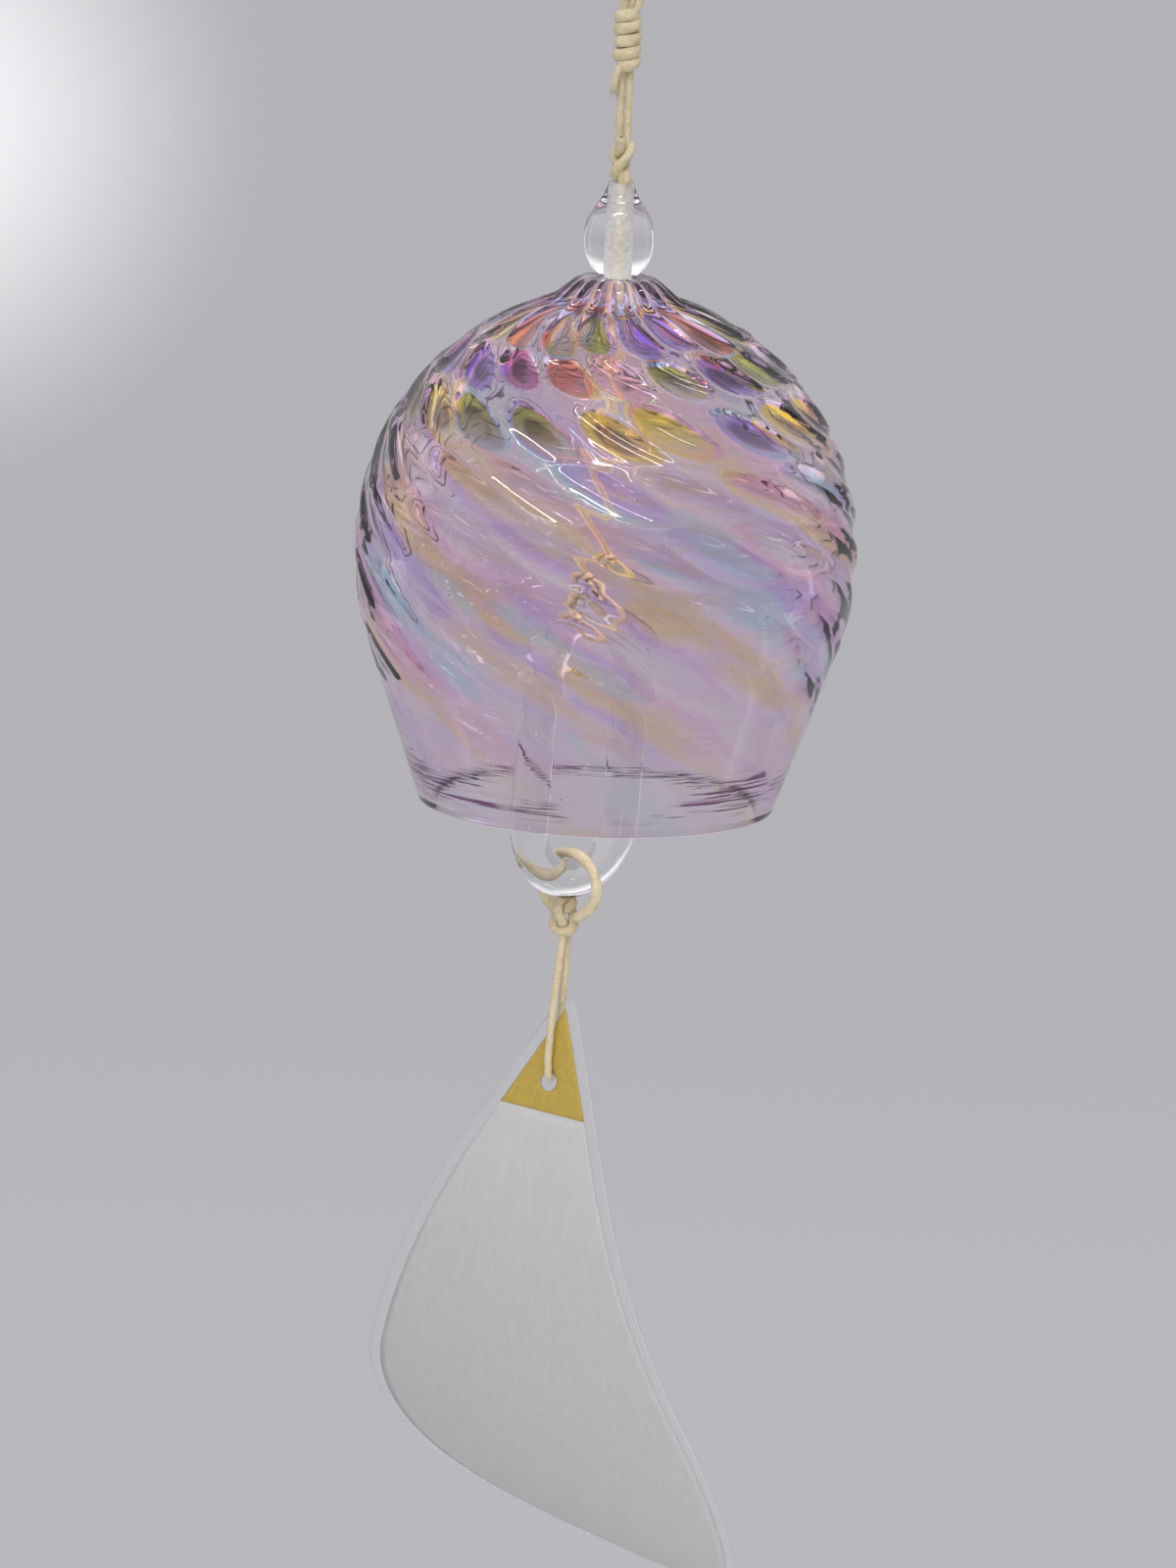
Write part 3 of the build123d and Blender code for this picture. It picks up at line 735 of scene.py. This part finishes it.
BORE_R = 1.5
side_z = np.linspace(0, BEAD_TOP - SEAT, 48)
side_r = smooth_curve(heights, radii, side_z)
foot_r = np.linspace(BORE_R, radii[0], 6)[:-1]
head_r = np.linspace(radii[-1], BORE_R, 5)[1:]
bore_z = np.linspace(BEAD_TOP - SEAT, 0, 40)[1:-1]
ring_r = np.concatenate([foot_r, side_r, head_r, np.full(len(bore_z), BORE_R)])
ring_z = np.concatenate([np.zeros(len(foot_r)), side_z, np.full(len(head_r), BEAD_TOP - SEAT), bore_z]) + SEAT
theta = np.arange(BEAD_AROUND) * TAU / BEAD_AROUND
verts = np.stack([
    ring_r[:, None] * np.cos(theta),
    ring_r[:, None] * np.sin(theta),
    np.repeat(ring_z[:, None], BEAD_AROUND, 1),
], -1).reshape(-1, 3)
faces, corner_r, corner_c = grid(len(ring_r), BEAD_AROUND, True)
closing, _, _ = grid(2, BEAD_AROUND, True)
closing = np.where(closing >= BEAD_AROUND, closing - BEAD_AROUND, closing + (len(ring_r) - 1) * BEAD_AROUND)
faces = np.vstack([faces, closing])[:, ::-1]
bore_from = len(foot_r) + len(side_r) + len(head_r) - 1
ring_of = np.concatenate([corner_r[:, 0], np.full(BEAD_AROUND, len(ring_r))])
bead = new_object("bead_drop", verts, faces, None, [clear, frosted], (ring_of >= bore_from).astype(int))
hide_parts("bead")
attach(bead, "bead_cord")
bead.visible_shadow = False


# Bell: blown glass with twisted rows of pressed cells

MAX_R = 40.2
WIDEST = -117.4
RIM = -159.0
CROWN_R = 42.5
SKIRT_R = 50.0
TAPER = math.radians(19.3)
WALL = 2.6
COLLAR_R = 9.4
COLLAR_FLAT = 6.6
HOLE_R = 2.1
RIM_ROUND = 0.5
RIBS = 18
AROUND = 384
ROWS = 220
INSIDE_ROWS = 64
FLARE_FROM = 12
FLARE_DEEP = 1.4
HOLE_EDGE = 0.25
COLLAR_EASE_IN = 1.9
COLLAR_EASE_OUT = 1.2
FINE_STEP = 0.1
BLUR_REACH = 24
BLUR_WIDTH = 9.0
EDGE_POINTS = 7
LEAST = 1e-12


def bezier(a, b, c, count=12):
    t = np.linspace(0, 1, count)[:, None]
    return (1 - t) ** 2 * np.array(a) + 2 * t * (1 - t) * np.array(b) + t ** 2 * np.array(c)


def swing(middle, radius, first, last, count):
    at = np.linspace(first, last, count)
    return np.stack([middle + radius * np.cos(at), WIDEST + radius * np.sin(at)], 1)


def side_line(inset, top_r):
    """The bell's side from the collar or the hole down to the rim, set in from the outside."""
    crown = CROWN_R - inset
    skirt = SKIRT_R - inset
    crown_x = MAX_R - CROWN_R
    skirt_x = MAX_R - SKIRT_R
    top = math.acos((top_r - crown_x) / crown)
    upper = swing(crown_x, crown, top, 0, 160)
    lower = swing(skirt_x, skirt, 0, -TAPER, 60)[1:]
    foot = lower[-1]
    rim = np.array((foot[0] - (foot[1] - RIM) * math.tan(TAPER), RIM))
    return np.vstack([upper, lower]), foot, rim


outside, foot, rim = side_line(0, COLLAR_R)
inside, _, rim_in = side_line(WALL, HOLE_R)
down = unit(rim - foot)
shoulder = np.array((COLLAR_FLAT, SEAT))
collar_way = unit(outside[0] - shoulder)
outer = np.vstack([
    [(HOLE_R + HOLE_EDGE, SEAT)],
    bezier(shoulder - (COLLAR_EASE_IN, 0), shoulder, shoulder + COLLAR_EASE_OUT * collar_way),
    outside[3:],
    rim - RIM_ROUND * down,
])
outer = spaced(np.column_stack([outer, np.zeros(len(outer))]), FINE_STEP)[:, :2]
weight = np.exp(-0.5 * (np.arange(-BLUR_REACH, BLUR_REACH + 1) / BLUR_WIDTH) ** 2)
weight /= weight.sum()
softened = np.stack([np.convolve(outer[:, i], weight, "same") for i in range(2)], 1)
s_dense = np.concatenate([[0], np.cumsum(np.linalg.norm(np.diff(outer, axis=0), axis=1))])
S_END = s_dense[-1]
ease = np.clip((s_dense - 3.0) / 2, 0, 1) * np.clip((16 - s_dense) / 4, 0, 1)
outer = outer + ease[:, None] * (softened - outer)
s_rows = np.linspace(0, S_END, ROWS)
outer = np.stack([np.interp(s_rows, s_dense, outer[:, i]) for i in range(2)], 1)

# Cells lie in level rows, each turned on from the row above, so ribs lean over into a spiral
ROW_ANGLES = 62.0 - 13.5 * np.arange(7)
ROW_TURNS = np.array([0.0, 13.2, 30.0, 52.0, 76.6, 102.0, 128.0])
row_r = np.where(ROW_ANGLES > 0, CROWN_R, SKIRT_R)
row_x = MAX_R - row_r + row_r * np.cos(np.radians(ROW_ANGLES))
row_z = WIDEST + row_r * np.sin(np.radians(ROW_ANGLES))
FIRST_TURN = -6.0
LAST_TURN = 154.0
TURN_PER_MM = 2.4
FIRST_ROW = -0.62
LAST_STEP = 11.0
row_s = []
for x, z in zip(row_x, row_z):
    row_s.append(s_rows[np.argmin(np.hypot(outer[:, 0] - x, outer[:, 1] - z))])
row_s = np.array(row_s)
left_over = S_END - row_s[-1] - LAST_STEP
marks_s = np.concatenate([[0.0], row_s, [row_s[-1] + LAST_STEP, S_END]])
marks_turn = np.concatenate([[FIRST_TURN], ROW_TURNS, [LAST_TURN, LAST_TURN + TURN_PER_MM * left_over]])
marks_row = np.concatenate([[FIRST_ROW], np.arange(8), [7 + left_over / LAST_STEP]])
twist = np.radians(smooth_curve(marks_s, marks_turn, s_rows))
level = smooth_curve(marks_s, marks_row, s_rows)
DEPTH_S = [0, 3, 6, 10, 20, 38, 55, 75, 82, 88, 93, 104]
DEPTH = [0, 0.1, 0.35, 0.9, 1.15, 1.1, 0.85, 0.65, 0.4, 0.1, 0.0, 0.0]
depth = np.interp(s_rows, DEPTH_S, DEPTH)
phi = np.arange(AROUND) * TAU / AROUND
rib = RIBS * (phi[None] - twist[:, None]) / TAU
row = np.repeat(level[:, None], AROUND, 1)
LEVELS = 24
shift_u = rng.uniform(-0.1, 0.1, (RIBS, LEVELS))
shift_w = rng.uniform(-0.13, 0.13, (RIBS, LEVELS))
deeper = rng.uniform(0.75, 1.2, (RIBS, LEVELS))
hues = rng.uniform(0.0, 1.0, (RIBS, LEVELS))
open_rows = np.clip((s_rows - 7.0) / 8.0, 0, 1)[:, None]
SOFT = np.interp(s_rows, [0, 45, 75, 100], [0.022, 0.024, 0.04, 0.07])[:, None]
total = np.zeros_like(rib)
carry = np.zeros_like(rib)
hue = np.zeros_like(rib)
for rib_step in (-1, 0, 1, 2):
    k = np.floor(rib).astype(int) + rib_step
    for row_step in (-1, 0, 1, 2):
        j = np.floor(row).astype(int) + row_step
        cell = (k % RIBS, np.clip(j + 3, 0, LEVELS - 1))
        du = rib - k - shift_u[cell] * open_rows
        dw = (row - j - shift_w[cell]) * open_rows
        narrow = np.clip(1.0 - 0.75 * dw, 0.55, 1.6)
        span = du ** 2 * narrow * 1.1 + dw ** 2 * 0.85
        near = np.exp(-span / SOFT)
        total += near
        carry += near * deeper[cell]
        hue += near * hues[cell]
CELL_REACH = 0.25
RAISED_SHARE = 0.35
INSIDE_SHARE = 0.3
SMOOTH_TOP_ROWS = 12
total = np.maximum(total, LEAST)
nearest = -SOFT * np.log(total)
core = np.clip(1 - nearest / CELL_REACH, 0, 1)
hollow = core * carry / total
ahead = unit(np.gradient(outer, axis=0))
out_r = -ahead[:, 1]
out_z = ahead[:, 0]
press = RAISED_SHARE * depth[:, None] - depth[:, None] * hollow
ring = outer[:, 0][:, None] + press * out_r[:, None]
high = outer[:, 1][:, None] + press * out_z[:, None]
outer_verts = np.stack([ring * np.cos(phi), ring * np.sin(phi), high], -1)

edge = np.vstack([
    bezier(rim - RIM_ROUND * down, rim, rim + (-RIM_ROUND, 0), EDGE_POINTS)[1:],
    bezier(rim_in + (RIM_ROUND, 0), rim_in, rim_in - RIM_ROUND * down, EDGE_POINTS),
])
corner = np.array((HOLE_R, inside[0, 1]))
flare = bezier(inside[FLARE_FROM], corner, (HOLE_R, SEAT - FLARE_DEEP))
climb = np.vstack([rim_in - RIM_ROUND * down, inside[:FLARE_FROM:-1], flare, [(HOLE_R, SEAT - HOLE_EDGE)]])
climb = spaced(np.column_stack([climb, np.zeros(len(climb))]), FINE_STEP)[:, :2]
climb = climb[np.linspace(0, len(climb) - 1, INSIDE_ROWS).astype(int)][1:]
lower_part = np.vstack([edge, climb])
echo = np.interp(lower_part[:, 1], outer[::-1, 1], np.arange(ROWS)[::-1]).astype(int)
share = np.zeros(len(lower_part))
share[len(edge):-SMOOTH_TOP_ROWS] = INSIDE_SHARE
under = unit(np.gradient(lower_part, axis=0))
press_in = share[:, None] * (press[echo] - press[echo].mean(1, keepdims=True))
ring = lower_part[:, 0][:, None] + press_in * under[:, 1][:, None]
high = lower_part[:, 1][:, None] - press_in * under[:, 0][:, None]
inner_verts = np.stack([ring * np.cos(phi), ring * np.sin(phi), high], -1)
verts = np.concatenate([outer_verts, inner_verts]).reshape(-1, 3)
rows_all = ROWS + len(lower_part)
faces, corner_r, corner_c = grid(rows_all, AROUND, True)
turn_rows = np.concatenate([twist, np.full(len(lower_part), twist[-1])])
run_rows = np.concatenate([s_rows / S_END, np.ones(len(lower_part))])
swirl_u = corner_c / AROUND - turn_rows[corner_r] / TAU
uv = np.stack([swirl_u, run_rows[corner_r]], -1)
last = (rows_all - 1) * AROUND
c = np.arange(AROUND)
n = (c + 1) % AROUND
closing = np.stack([last + c, c, n, last + n], 1)
closing_uv = np.zeros((AROUND, 4, 2))
faces = np.vstack([faces, closing])
uv = np.concatenate([uv, closing_uv])
bell = new_object("swirled_bell", verts, faces, uv.reshape(-1, 2), [swirled])
plain = np.full(len(lower_part) * AROUND, 0.5)
skin = np.concatenate([np.ones(ROWS + len(edge)), np.zeros(len(climb))])
for name, values in (
    ("core", np.concatenate([core.ravel(), plain])),
    ("hue", np.concatenate([(hue / total).ravel(), plain])),
    ("skin", np.repeat(skin, AROUND)),
):
    attribute = bell.data.attributes.new(name, "FLOAT", "POINT")
    attribute.data.foreach_set("value", values.astype(np.float32))
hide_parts("bell")
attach(bell, "bell")
bell.visible_shadow = False


# Clapper: a hand-drawn link of clear glass rod

LINK_AROUND = 40
LINK_STEP = 0.6
half_turn = np.linspace(0, math.pi, 40)
top_z = LIMB_HIGH - LINK_AXIS_R
low_z = LIMB_LOW + LINK_AXIS_R
up_side = np.stack([LINK_AXIS_R * np.cos(half_turn), top_z + LINK_AXIS_R * np.sin(half_turn)], 1)
low_side = np.stack([-LINK_AXIS_R * np.cos(half_turn), low_z - LINK_AXIS_R * np.sin(half_turn)], 1)
flat_line = np.vstack([up_side, low_side, up_side[:1]])
link_line = np.stack([flat_line[:, 0] * math.cos(yaw), flat_line[:, 0] * math.sin(yaw), flat_line[:, 1]], 1)
link_line = spaced(link_line, LINK_STEP)[:-1]
ahead = unit(np.roll(link_line, -1, 0) - np.roll(link_line, 1, 0))
facing_way = np.array((-math.sin(yaw), math.cos(yaw), 0.0))
outward = np.cross(ahead, facing_way)
theta = np.arange(LINK_AROUND) * TAU / LINK_AROUND
share = np.arange(len(link_line)) / len(link_line) * TAU
wobble = LINK_R * (0.965 + 0.02 * np.sin(2 * share + 0.6) + 0.014 * np.sin(5 * share))
verts = link_line[:, None] + (wobble[:, None] * np.cos(theta))[..., None] * facing_way
verts = verts + (wobble[:, None] * np.sin(theta))[..., None] * outward[:, None]
count = len(link_line)
r, c = np.meshgrid(np.arange(count), np.arange(LINK_AROUND), indexing="ij")
nr = (r + 1) % count
nc = (c + 1) % LINK_AROUND
faces = np.stack([r * LINK_AROUND + c, r * LINK_AROUND + nc, nr * LINK_AROUND + nc, nr * LINK_AROUND + c], -1)
link = new_object("glass_link", leaned(verts).reshape(-1, 3), faces.reshape(-1, 4), None, [clear])
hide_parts("clapper_link")
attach(link, "clapper")


# Wind catcher: a laminated paper drop with a gold tip

DROP_R = 34.6
HALF_ANGLE = math.radians(25.9)
DROP_SKEW = math.radians(-7.3)
DROP_MID = DROP_R / math.sin(HALF_ANGLE)
DROP_LEN = DROP_MID + DROP_R
MARGIN = 2.0
TIP_R = 2.4
GOLD_H = 17.0
HOLE_RUN = 12.0
PAPER_HOLE = 1.6
PAPER_HALF = 0.15
FILM_HALF = 0.27
FLAT_RUN = 24.0
CURL_R = 59.2
CURL_LEN = 50.4
PIVOT_RUN = 11.35
LOWEST_RUN = PIVOT_RUN + (DROP_MID - PIVOT_RUN) * math.cos(DROP_SKEW) + DROP_R + MARGIN
CURL_LOW_TURN = math.radians(31.0)
CURL_LOW_R = (LOWEST_RUN - FLAT_RUN - CURL_LEN) / CURL_LOW_TURN
COLUMNS = 41
SHEET_ROWS = 90
TIP_RINGS = 9
TIP_CLIMB = 36
TIP_CROWD = 1.6
END_GAP = 0.004
FILM_CUT = 22.0
sheet_place = tail_place @ moved(-STRAND_DROP) @ turned("Y", SHEET_ROLL) @ moved(PIVOT_RUN)


def curled(run, side, depth):
    """Places of points on the sheet: run from the tip, to the side and in front of its middle."""
    below = np.asarray(run, float) - PIVOT_RUN
    run = PIVOT_RUN + below * math.cos(DROP_SKEW) + side * math.sin(DROP_SKEW)
    side = side * math.cos(DROP_SKEW) - below * math.sin(DROP_SKEW)
    first = np.clip(run - FLAT_RUN, 0, CURL_LEN) / CURL_R
    second = np.clip(run - FLAT_RUN - CURL_LEN, 0, None) / CURL_LOW_R
    whole = first + second
    y = CURL_R * (1 - np.cos(first)) + CURL_LOW_R * (np.cos(first) - np.cos(whole)) - depth * np.cos(whole)
    z = -np.minimum(run, FLAT_RUN) - CURL_R * np.sin(first) - CURL_LOW_R * (np.sin(whole) - np.sin(first))
    z = z - depth * np.sin(whole)
    return placed(sheet_place, np.stack([np.broadcast_to(side, run.shape), y, z], -1))


def half_width(run, margin):
    """Half the drop's width at a run from the tip, with the film's margin or without."""
    run = np.asarray(run, float)
    round_r = DROP_R + margin
    straight = run * math.tan(HALF_ANGLE) + margin / math.cos(HALF_ANGLE)
    arc = np.sqrt(np.clip(round_r ** 2 - (run - DROP_MID) ** 2, 0, None))
    half = np.where(run < DROP_MID - round_r * math.sin(HALF_ANGLE), straight, arc)
    if margin:
        middle = TIP_R / math.sin(HALF_ANGLE) - margin / math.sin(HALF_ANGLE)
        cap = np.sqrt(np.clip(TIP_R ** 2 - (run - middle) ** 2, 0, None))
        half = np.where(run < middle - TIP_R * math.sin(HALF_ANGLE), cap, half)
    return half


def lower_rows(cut, margin):
    """Rows of points from the cut down to the drop's end, as run and side."""
    end = DROP_LEN + margin
    run = cut + (end - cut) * np.sin(np.linspace(0, math.pi / 2, SHEET_ROWS))
    run[-1] = end - END_GAP
    half = half_width(run, margin)
    side = np.linspace(-1, 1, COLUMNS)[None] * half[:, None]
    return np.repeat(run[:, None], COLUMNS, 1), side


def tip_rows(cut, margin):
    """Rings of points from the hole out to the tip's edge and the cut, as run and side."""
    top = 0.0
    if margin:
        top = TIP_R / math.sin(HALF_ANGLE) - margin / math.sin(HALF_ANGLE) - TIP_R
    climb = top + (cut - top) * np.linspace(0, 1, TIP_CLIMB) ** TIP_CROWD
    bottom_side = np.linspace(-1, 1, COLUMNS) * half_width(cut, margin)
    right = half_width(climb, margin)
    run = np.concatenate([np.full(COLUMNS, cut), climb[::-1][1:], climb[1:-1]])
    side = np.concatenate([bottom_side, right[::-1][1:], -right[1:-1]])
    angle = np.arctan2(side, run - HOLE_RUN)
    hole_run = HOLE_RUN + PAPER_HOLE * np.cos(angle)
    hole_side = PAPER_HOLE * np.sin(angle)
    t = np.linspace(0, 1, TIP_RINGS)[:, None]
    return hole_run + (run - hole_run) * t, hole_side + (side - hole_side) * t


def shell(name, patches, half, materials, rim_slot):
    """A thin closed shell from patches of runs and sides, open only at its hole."""
    verts, faces, slots, uv = [], [], [], []
    first = 0
    for run, side, wrap, open_edges in patches:
        rows, cols = run.shape
        flat_uv = np.stack([side, run], -1).reshape(-1, 2) / 100
        quads, _, _ = grid(rows, cols, wrap)
        layers = []
        for depth in (half, -half):
            verts.append(curled(run, side, depth).reshape(-1, 3))
            layers.append(first)
            first += rows * cols
        front = quads + layers[0]
        back = quads[:, ::-1] + layers[1]
        for part in (front, back):
            faces += part.tolist()
            slots += [0] * len(part)
        for loop_ids in open_edges:
            a = np.asarray(loop_ids)[:-1]
            b = np.asarray(loop_ids)[1:]
            strip = np.stack([a + layers[0], a + layers[1], b + layers[1], b + layers[0]], 1)
            faces += strip.tolist()
            slots += [rim_slot] * len(strip)
        uv.append(np.concatenate([flat_uv, flat_uv]))
    verts = np.vstack(verts)
    uv = np.vstack(uv)
    corner_uv = uv[np.concatenate([np.asarray(f) for f in faces])]
    return new_object(name, verts, faces, corner_uv, materials, slots)


def border(rows, cols, wrap):
    """Point numbers along the edges of a patch: its hole and outline, or its two sides and ends."""
    index = np.arange(rows * cols).reshape(rows, cols)
    if wrap:
        return [np.append(index[0], index[0, 0])[::-1], np.append(index[-1], index[-1, 0])]
    return [index[:, 0], index[-1], index[::-1, -1], index[0][::-1]]


run, side = lower_rows(GOLD_H, 0.0)
paper_edges = border(*run.shape, False)
paper_drop = shell("paper_sheet", [(run, side, False, paper_edges)], PAPER_HALF, [paper], 0)
tip_run, tip_side = tip_rows(GOLD_H, 0.0)
gold_edges = border(*tip_run.shape, True)
gold_tip = shell("gold_corner", [(tip_run, tip_side, True, gold_edges)], PAPER_HALF, [gold], 0)
film_run, film_side = tip_rows(FILM_CUT, MARGIN)
film_low_run, film_low_side = lower_rows(FILM_CUT, MARGIN)
hole_edge, outline = border(*film_run.shape, True)
low_edges = border(*film_low_run.shape, False)[:3]
film_sheet = shell(
    "laminate_film",
    [
        (film_run, film_side, True, [hole_edge, outline[COLUMNS - 1:]]),
        (film_low_run, film_low_side, False, low_edges),
    ],
    FILM_HALF,
    [film, film_edge],
    1,
)
for made, slot_name, nodes in (
    (paper_drop, "paper", ["paper_drop"]),
    (gold_tip, "gold_paper", ["gold_tip"]),
    (film_sheet, "film", ["film_front", "film_back"]),
):
    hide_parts(*nodes)
    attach(made, "wind_catcher")


# Stage: pale floor, soft studio light and a grey backdrop

FLOOR_Z = -600.0
FLOOR_AROUND = 96
floor_r = np.array([250.0, 500.0, 800.0])
theta = np.arange(FLOOR_AROUND) * TAU / FLOOR_AROUND
verts = np.stack([floor_r[:, None] * np.cos(theta), floor_r[:, None] * np.sin(theta)], -1)
verts = np.concatenate([verts, np.full((len(floor_r), FLOOR_AROUND, 1), FLOOR_Z)], -1).reshape(-1, 3)
faces, _, _ = grid(len(floor_r), FLOOR_AROUND, True)
faces = faces.tolist() + [list(range(FLOOR_AROUND))]
floor_look = Look("floor")
tone = floor_look.noise(floor_look.coords(), 6.0, 2.0)
shade = floor_look.mix(tone, (0.62, 0.62, 0.64, 1), (0.66, 0.66, 0.68, 1))
floor_look.set(Base_Color=shade, Roughness=0.8)
floor = new_object("floor", verts, faces, None, [floor_look.mat])


def lamp(name, place, target, wide, tall, power, reflected=True):
    """An area lamp that the camera doesn't see, and that glass shows only if it is to be reflected."""
    data = bpy.data.lights.new(name, "AREA")
    data.shape = "RECTANGLE"
    data.size = wide
    data.size_y = tall
    data.energy = power
    made = bpy.data.objects.new(name, data)
    made.location = place
    made.rotation_euler = (Vector(target) - Vector(place)).to_track_quat("-Z", "Y").to_euler()
    made.visible_camera = False
    made.visible_glossy = reflected
    made.visible_transmission = reflected
    bpy.context.scene.collection.objects.link(made)


lamp("key", (-0.55, -0.75, 0.55), (0, 0, -0.12), 0.5, 0.5, 1.7, False)
lamp("strip", (0.02, -0.42, 0.62), (0, 0, -0.1), 0.7, 0.02, 1.4)
lamp("strip_low", (-0.04, -0.62, 0.5), (0, 0, -0.1), 0.6, 0.012, 0.9)
lamp("strip_high", (0.03, -0.12, 0.8), (0, 0, -0.1), 0.6, 0.012, 0.9)
lamp("fill", (0.05, -0.3, -0.58), (0, 0, -0.27), 0.4, 0.4, 1.35, False)
lamp("left", (-0.75, 0.3, -0.05), (0, 0, -0.1), 0.1, 0.6, 0.18)
lamp("right", (0.75, 0.25, -0.05), (0, 0, -0.1), 0.08, 0.6, 0.15)

world = bpy.data.worlds.new("studio")
bpy.context.scene.world = world
world.use_nodes = True
sky = Nodes(world.node_tree)
background = sky.tree.nodes["Background"]
way = sky.node("ShaderNodeTexCoord").outputs["Generated"]
axes = sky.node("ShaderNodeSeparateXYZ", {0: way})
behind = sky.fit(axes.outputs[1], -0.55, 0.25)
grey = sky.mix(behind, (0.15, 0.095, 0.145, 1), (0.453, 0.446, 0.472, 1))
raised = sky.fit(axes.outputs[2], 0.1, 0.4, 0.0, 0.75)
grey = sky.mix(raised, grey, (1.3, 1.3, 1.32, 1))
lowered = sky.fit(axes.outputs[2], -0.2, -0.255, 0.0, 0.085)
grey = sky.mix(lowered, grey, (0.9, 0.9, 0.92, 1))
GLOW_AT = (-0.047, 0.9858, -0.162)
glow_way = sky.node("ShaderNodeVectorMath", {0: way, 1: GLOW_AT}, operation="DISTANCE")
glow = sky.fit(glow_way.outputs["Value"], 0.001, 0.0265, 1.0, 0.0)
grey = sky.mix(glow, grey, (0.95, 0.955, 0.98, 1))
path = sky.node("ShaderNodeLightPath").outputs
seen = sky.math("MAXIMUM", path["Is Camera Ray"], path["Is Glossy Ray"])
seen = sky.math("MAXIMUM", seen, path["Is Transmission Ray"])
shown = sky.mix(seen, (0.42, 0.42, 0.435, 1), grey)
sky.put(background.inputs["Color"], shown)
background.inputs["Strength"].default_value = 1.0
bpy.context.scene.view_settings.view_transform = "Standard"
